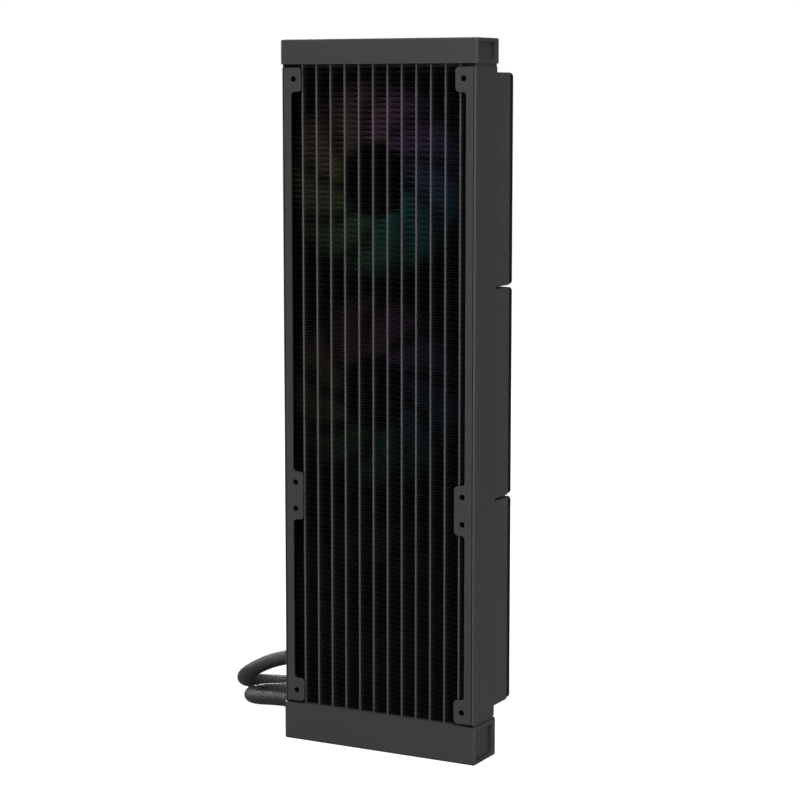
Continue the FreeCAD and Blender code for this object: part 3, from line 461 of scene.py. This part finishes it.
def hose_routes():
    lower_r = (FAR_END_Y - LOWER_FLOOR_Y) / 2
    upper_r = (NEAR_END_Y - UPPER_FLOOR_Y) / 2
    lower = [(LEFT_START, ELBOW_Y, PORT_Z), (-58, ELBOW_Y, PORT_Z), (-73, 34.2, 12.0), (-88, 35.6, 11.4),
             (-101.5, 37.2, 9.7), (-112, 44.5, 8.2), (-116, 57, 6.7), (-111.5, 69.5, 5.4), (-101, 76.8, 4.9),
             (-84, LOWER_FLOOR_Y, ON_FLOOR)]
    lower += half_turn(lower_r, LOWER_FLOOR_Y + lower_r, 7, ON_FLOOR, PUMP_PORT_Z - 2)
    lower += [(HOSE_END + LAST_RUN, FAR_END_Y, PUMP_PORT_Z), (HOSE_END, FAR_END_Y, PUMP_PORT_Z)]
    upper = [(RIGHT_START, ELBOW_Y, PORT_Z), (-1, ELBOW_Y, PORT_Z), (-19, 40.6, 11.6), (-36, 52, 14.6),
             (-52, 61.5, 21.2), (-69, 65, 29.2), (-86, 60.5, 32.2), (-102, 56, 28.6), (-116.6, 55.6, 21.2),
             (-127.8, 61.6, 13.6), (-131.7, 73.4, 8.3), (-127.9, 85.2, 5.4), (-116.8, 91.6, ON_FLOOR),
             (-98, UPPER_FLOOR_Y - 1, ON_FLOOR), (-74, UPPER_FLOOR_Y, ON_FLOOR)]
    upper += half_turn(upper_r, UPPER_FLOOR_Y + upper_r, 5, ON_FLOOR, PUMP_PORT_Z - 2)
    upper += [(HOSE_END + LAST_RUN, NEAR_END_Y, PUMP_PORT_Z), (HOSE_END, NEAR_END_Y, PUMP_PORT_Z)]
    return {"lower_hose": lower, "upper_hose": upper}


def spline_points(route):
    """Points of the smooth line that has the route's corners as its control points, in mm."""
    curve = bpy.data.curves.new("route", "CURVE")
    curve.dimensions = "3D"
    curve.resolution_u = 24
    spline = curve.splines.new("NURBS")
    spline.points.add(len(route) - 1)
    for point, (x, y, z) in zip(spline.points, route):
        point.co = (x * MM, (y - DEPTH / 2) * MM, z * MM, 1)
    spline.order_u = 3
    spline.use_endpoint_u = True
    holder = bpy.data.objects.new("route", curve)
    bpy.context.collection.objects.link(holder)
    bpy.context.view_layer.update()
    line = bpy.data.meshes.new_from_object(holder)
    points = np.array([vertex.co[:] for vertex in line.vertices]) / MM
    bpy.data.meshes.remove(line)
    bpy.data.objects.remove(holder)
    bpy.data.curves.remove(curve)
    return points


def evenly(points, step):
    lengths = np.r_[0, np.cumsum(np.linalg.norm(np.diff(points, axis=0), axis=1))]
    count = int(lengths[-1] / step) + 2
    places = np.linspace(0, lengths[-1], count)
    return np.c_[[np.interp(places, lengths, points[:, k]) for k in range(3)]].T, places


def carried_frames(points):
    """Two directions square to the line at each point, carried along it without twist."""
    ahead = np.gradient(points, axis=0)
    ahead /= np.linalg.norm(ahead, axis=1)[:, None]
    side = np.cross(ahead[0], (0, 0, 1))
    side /= np.linalg.norm(side)
    sides = []
    for direction in ahead:
        side = side - direction * side.dot(direction)
        side /= np.linalg.norm(side)
        sides.append(side.copy())
    sides = np.array(sides)
    return sides, np.cross(ahead, sides)


def add_hose(name, route, material):
    around_count = BRAID_CELLS * 4
    line = spline_points(route)
    points, places = evenly(line, 0.42)
    sides, ups = carried_frames(points)
    angles = np.arange(around_count) / around_count
    verts = []
    for i, centre in enumerate(points):
        slant_a = BRAID_CELLS / 2 * angles + places[i] / BRAID_STEP / 2
        slant_b = BRAID_CELLS / 2 * angles - places[i] / BRAID_STEP / 2
        lift = np.abs(np.sin(math.pi * slant_a)) * np.abs(np.sin(math.pi * slant_b))
        radius = HOSE_R - BRAID_DEPTH + (BRAID_DEPTH + BRAID_PROUD) * lift
        turn = angles * 2 * math.pi
        ring = centre + np.outer(radius * np.cos(turn), sides[i]) + np.outer(radius * np.sin(turn), ups[i])
        verts.extend(map(tuple, ring))
    faces = []
    uvs = []
    for i in range(len(points) - 1):
        for k in range(around_count):
            following = (k + 1) % around_count
            low, high = i * around_count, (i + 1) * around_count
            faces.append((low + k, low + following, high + following, high + k))
            left, right = k / around_count, (k + 1) / around_count
            uvs += [(left, places[i]), (right, places[i]), (right, places[i + 1]), (left, places[i + 1])]
    for first, order in ((0, -1), ((len(points) - 1) * around_count, 1)):
        cap = list(range(first, first + around_count))[::order]
        faces.append(tuple(cap))
        uvs += [(0.0, 0.0)] * around_count
    piece = add_mesh(name + "_sleeve", verts, faces, material, ROOT, smooth=True, uvs=uvs)
    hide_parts(name)
    print(name, "length", round(float(places[-1]), 1), "mm,", len(faces), "faces")
    return piece


# ---------------------------------------------------------------- fins
FOLD_R = 0.32
FOIL = 0.1
FOLD_STEPS = 4


def fin_centre_line(x0, x1, rng):
    """(x, z) points down the middle of the folded foil, from the bottom of the core to its top."""
    z0 = CORE_BOTTOM + 0.7
    leaves = int((CORE_TOP - 0.7 - z0) / FIN_PITCH)
    points = []
    for i in range(leaves + 1):
        z = z0 + i * FIN_PITCH + rng.uniform(-0.12, 0.12)
        left = i % 2 == 0
        centre_x = x0 + FOLD_R + FOIL / 2 if left else x1 - FOLD_R - FOIL / 2
        way = -1 if left else 1
        tilt = math.atan2(FIN_PITCH - 2 * FOLD_R, x1 - x0)
        for k in range(FOLD_STEPS + 1):
            angle = math.radians(-90) + tilt + (math.pi - 2 * tilt) * k / FOLD_STEPS
            points.append((centre_x + way * FOLD_R * math.cos(angle), z + FOLD_R * math.sin(angle)))
    return points


def add_fin_strip(number, x0, x1, material):
    rng = random.Random(100 + number)
    line = np.array(fin_centre_line(x0, x1, rng))
    ahead = np.gradient(line, axis=0)
    ahead /= np.linalg.norm(ahead, axis=1)[:, None]
    normal = np.c_[-ahead[:, 1], ahead[:, 0]]
    sides = (line + normal * FOIL / 2, line - normal * FOIL / 2)
    y_front = -FIN_DEPTH / 2
    y_back = FIN_DEPTH / 2
    count = len(line)
    verts = []
    for y in (y_front, y_back):
        for side in sides:
            verts += [(x, y, z) for x, z in side]
    front_a, front_b, back_a, back_b = (count * k for k in range(4))
    faces = []
    for i in range(count - 1):
        faces.append((front_a + i, front_a + i + 1, back_a + i + 1, back_a + i))
        faces.append((back_b + i, back_b + i + 1, front_b + i + 1, front_b + i))
        faces.append((front_b + i, front_b + i + 1, front_a + i + 1, front_a + i))
        faces.append((back_a + i, back_a + i + 1, back_b + i + 1, back_b + i))
    last = count - 1
    faces.append((front_a, back_a, back_b, front_b))
    faces.append((front_b + last, back_b + last, back_a + last, front_a + last))
    piece = add_mesh("fin_strip_%02d" % number, verts, faces, material, ROOT)
    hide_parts("fin_strips")


def add_fins(material):
    wall = CORE_HALF - SHEET
    first = -(TUBES - 1) * TUBE_PITCH / 2
    tubes = [first + i * TUBE_PITCH for i in range(TUBES)]
    edges = [-wall] + [x + side * TUBE_THICK / 2 for x in tubes for side in (-1, 1)] + [wall]
    for number in range(TUBES + 1):
        add_fin_strip(number + 1, edges[2 * number], edges[2 * number + 1], material)


# ---------------------------------------------------------------- impellers
def turned(profile, steps):
    """Surface of (radius, y) points turned round the Y axis, closed at both ends on the axis."""
    verts = []
    faces = []
    for radius, y in profile:
        for k in range(steps):
            angle = 2 * math.pi * k / steps
            verts.append((radius * math.cos(angle), y, radius * math.sin(angle)))
    for i in range(len(profile) - 1):
        for k in range(steps):
            following = (k + 1) % steps
            low, high = i * steps, (i + 1) * steps
            faces.append((low + k, low + following, high + following, high + k))
    faces.append(tuple(range(steps))[::-1])
    last = (len(profile) - 1) * steps
    faces.append(tuple(range(last, last + steps)))
    return verts, faces


def corner_arc(radius, y, size, steps=5):
    """Rounded outer corner of a turned profile, from its side to its face."""
    points = []
    for k in range(steps + 1):
        angle = math.radians(90 * k / steps)
        points.append((radius - size + size * math.cos(angle), y - size + size * math.sin(angle)))
    return points


def hub_profile():
    inner = HUB_R - HUB_WALL
    groove_r = HUB_R * 0.72
    face = [(groove_r + 0.5, HUB_Y1), (groove_r + 0.3, HUB_Y1 - 0.5), (groove_r - 0.3, HUB_Y1 - 0.5)]
    face += [(groove_r - 0.5, HUB_Y1), (3.2, HUB_Y1), (2.6, HUB_Y1 - 0.4), (0.4, HUB_Y1 - 0.5)]
    cup = [(0.4, HUB_Y1 - HUB_TOP), (inner, HUB_Y1 - HUB_TOP), (inner, HUB_Y0)]
    cup += [(HUB_R - 0.3, HUB_Y0), (HUB_R, HUB_Y0 + 0.3)]
    return cup + corner_arc(HUB_R, HUB_Y1, 1.4) + face


def along_blade(radius, column):
    """Smooth value of one column of the blade's three cuts at a radius."""
    total = 0.0
    for i, cut in enumerate(BLADE_CUTS):
        share = 1.0
        for k, other in enumerate(BLADE_CUT_R):
            if k != i:
                share *= (radius - other) / (BLADE_CUT_R[i] - other)
        total += cut[column] * share
    return total


def blade_loop(radius, chord_steps):
    """Closed ring of points round the blade at one radius: over its upper side, back along its lower side."""
    lead_y = BLADE_Y1 - BLADE_THICK - along_blade(radius, 0)
    trail_y = BLADE_Y0 + along_blade(radius, 1)
    lead = math.asin(along_blade(radius, 2) / radius)
    trail = math.asin(along_blade(radius, 3) / radius)
    upper = []
    lower = []
    for k in range(chord_steps + 1):
        share = k / chord_steps
        angle = lead + (trail - lead) * share
        middle = lead_y + (trail_y - lead_y) * share + BLADE_BULGE * 4 * share * (1 - share) + BLADE_THICK / 2
        half = BLADE_THICK / 2 * max(0.18, 1 - abs(2 * share - 1) ** 3) ** 0.5
        x, z = radius * math.cos(angle), radius * math.sin(angle)
        upper.append((x, middle + half, z))
        lower.append((x, middle - half, z))
    return upper + lower[::-1]


def blade_mesh(radius_steps=14, chord_steps=12):
    verts = []
    for i in range(radius_steps + 1):
        verts += blade_loop(BLADE_ROOT_R + (BLADE_TIP_R - BLADE_ROOT_R) * i / radius_steps, chord_steps)
    count = 2 * (chord_steps + 1)
    faces = []
    for i in range(radius_steps):
        for k in range(count):
            following = (k + 1) % count
            near, far = i * count, (i + 1) * count
            faces.append((near + k, far + k, far + following, near + following))
    faces.append(tuple(range(count)))
    last = radius_steps * count
    faces.append(tuple(range(last, last + count))[::-1])
    return verts, faces


def add_impeller(number, centre_z, material):
    """Hub cup and its blades, joined into one smooth piece that spins with the fan's rotor."""
    verts, faces = turned(hub_profile(), 96)
    blade_verts, blade_faces = blade_mesh()
    for i in range(BLADES):
        angle = 2 * math.pi * i / BLADES
        first = len(verts)
        across, along = math.cos(angle), math.sin(angle)
        verts += [(x * across - z * along, y, x * along + z * across) for x, y, z in blade_verts]
        faces += [tuple(first + k for k in face) for face in blade_faces]
    placed = [(x, y + FAN_FACE, z + centre_z) for x, y, z in verts]
    name = "fan_%d_impeller" % number
    piece = add_mesh(name + "_shell", placed, faces, material, "fan_%d_rotor" % number, smooth=True)
    edges = piece.modifiers.new("crisp_edges", "EDGE_SPLIT")
    edges.split_angle = math.radians(38)
    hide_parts(name)


# ---------------------------------------------------------------- studio
SKY = [
    (0.00, 0.10), (0.49, 0.24), (0.57, 0.24), (0.66, 0.10), (0.90, 0.10), (0.96, 0.90), (1.00, 1.20),
]
SKY_STRENGTH = 1.0
BACKDROP_WHITE = 1.0
FLOOR_LIFT = 0.95


def add_world():
    """Plain white where it is seen directly. As a light it is bright overhead and dim near the horizon."""
    world = bpy.data.worlds.new("studio")
    bpy.context.scene.world = world
    world.use_nodes = True
    nodes = world.node_tree.nodes
    links = world.node_tree.links
    lit = nodes["Background"]
    lit.inputs["Strength"].default_value = SKY_STRENGTH
    where = nodes.new("ShaderNodeTexCoord")
    parts = nodes.new("ShaderNodeSeparateXYZ")
    links.new(where.outputs["Generated"], parts.inputs["Vector"])
    height = nodes.new("ShaderNodeMapRange")
    height.inputs["From Min"].default_value = -1.0
    links.new(parts.outputs["Z"], height.inputs["Value"])
    sky = nodes.new("ShaderNodeValToRGB")
    elements = sky.color_ramp.elements
    while len(elements) < len(SKY):
        elements.new(0.5)
    for element, (place, level) in zip(elements, SKY):
        element.position = place
        element.color = (level, level, level, 1)
    links.new(height.outputs["Result"], sky.inputs["Fac"])
    links.new(sky.outputs["Color"], lit.inputs["Color"])
    seen = nodes.new("ShaderNodeBackground")
    seen.inputs["Color"].default_value = (1, 1, 1, 1)
    seen.inputs["Strength"].default_value = BACKDROP_WHITE
    rays = nodes.new("ShaderNodeLightPath")
    choose = nodes.new("ShaderNodeMixShader")
    links.new(rays.outputs["Is Camera Ray"], choose.inputs["Fac"])
    links.new(lit.outputs["Background"], choose.inputs[1])
    links.new(seen.outputs["Background"], choose.inputs[2])
    links.new(choose.outputs["Shader"], nodes["World Output"].inputs["Surface"])


def add_floor():
    """A plain pale sheet, lifted towards white where it is seen directly and a modest reflector elsewhere."""
    half = 6.0
    mesh = bpy.data.meshes.new("floor")
    corners = [(-half, -half, 0), (half, -half, 0), (half, half, 0), (-half, half, 0)]
    mesh.from_pydata(corners, [], [(0, 1, 2, 3)])
    made = Shader("floor_paper", (0.22, 0.22, 0.22), 0.9, specular=0.1)
    made.tint(made.noise(3.0, 2.0), 0.99, 1.01)
    rays = made.node("ShaderNodeLightPath")
    lift = made.maths("MULTIPLY", rays.outputs["Is Camera Ray"], FLOOR_LIFT)
    made.main.inputs["Emission Color"].default_value = (1, 1, 1, 1)
    made.links.new(lift, made.main.inputs["Emission Strength"])
    mesh.materials.append(made.material)
    floor = bpy.data.objects.new("floor", mesh)
    bpy.context.collection.objects.link(floor)


def add_area_light(name, place, aim, size, power):
    data = bpy.data.lights.new(name, "AREA")
    data.shape = "RECTANGLE"
    data.size, data.size_y = size
    data.energy = power
    light = bpy.data.objects.new(name, data)
    light.location = place
    light.rotation_euler = (Vector(aim) - Vector(place)).to_track_quat("-Z", "Y").to_euler()
    light.visible_camera = False
    bpy.context.collection.objects.link(light)


def add_studio():
    add_world()
    add_floor()
    add_area_light("overhead", (0.3, -0.5, 1.5), (0.0, 0.0, 0.1), (0.8, 0.6), 18.5)
    add_area_light("key", (0.1, -1.8, 0.9), (0, 0, 0.25), (0.8, 0.6), 12)
    add_area_light("low", (0.6, -1.25, 0.06), (0, 0, 0.12), (1.2, 0.08), 7)
    add_area_light("side", (1.9, 0.1, 0.3), (0, 0, 0.13), (0.8, 0.8), 10.5)
    add_area_light("rim", (-1.0, 1.3, 0.8), (-0.12, 0.08, 0.02), (0.25, 0.25), 14)
    add_area_light("left", (-0.75, 0.0, 0.5), (-0.12, 0.06, 0.02), (0.15, 0.15), 3.8)
    view = bpy.context.scene.view_settings
    view.view_transform = "Standard"
    view.look = "None"
    view.exposure = 0.0


# ---------------------------------------------------------------- assembly
add_camera()
materials = make_materials()
for hose_name, hose_route in hose_routes().items():
    add_hose(hose_name, hose_route, materials["braid"])

BEVELS = {
    "radiator_paint": 0.2,
    "black_steel": 0.15,
    "fan_plastic": 0.15,
    "trim_plastic": 0.1,
    "fitting_paint": 0.2,
    "pump_plastic": 0.3,
    "copper": 0.2,
}
for entry in frame["record"]["subparts"]:
    slot_name = entry["material_slot"]
    if slot_name == "hose_sleeve":
        continue
    dress(entry["node"], materials[slot_name], BEVELS.get(slot_name, 0.0))

add_fins(materials["fin_paint"])
for fan in FANS:
    add_impeller(fan, FAN_STACK_Z + (2 - fan) * FAN_PITCH, materials["blade_plastic"])
add_studio()
